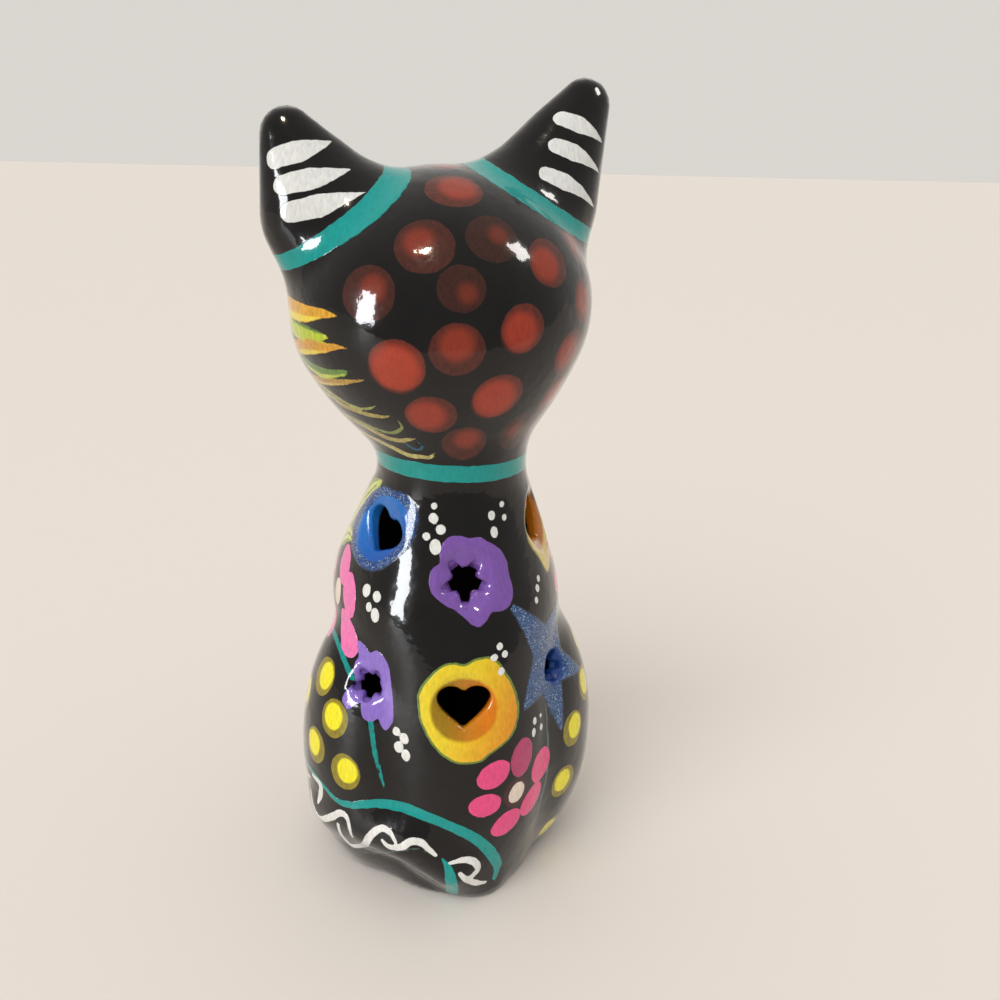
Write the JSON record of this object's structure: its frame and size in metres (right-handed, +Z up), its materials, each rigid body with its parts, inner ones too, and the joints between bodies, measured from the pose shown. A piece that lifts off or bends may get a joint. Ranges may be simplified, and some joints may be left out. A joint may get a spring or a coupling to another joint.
{
  "type": "cat figurine",
  "caption": "Seated hollow cat figure with upright ears and curled tail, its shell pierced by hearts and stars, standing on its open foot rim.",
  "frame": {"origin": "centre of the bounding box at the foot rim's underside", "axes": "+Z up along the figure, the cat faces -Y, its left side is +X"},
  "size_m": [0.0836, 0.0748, 0.2003],
  "materials": {
    "painted_shell": "glossy lacquer over hand painting"
  },
  "bodies": {
    "root": {"cat": "painted_shell"}
  },
  "joints": []
}
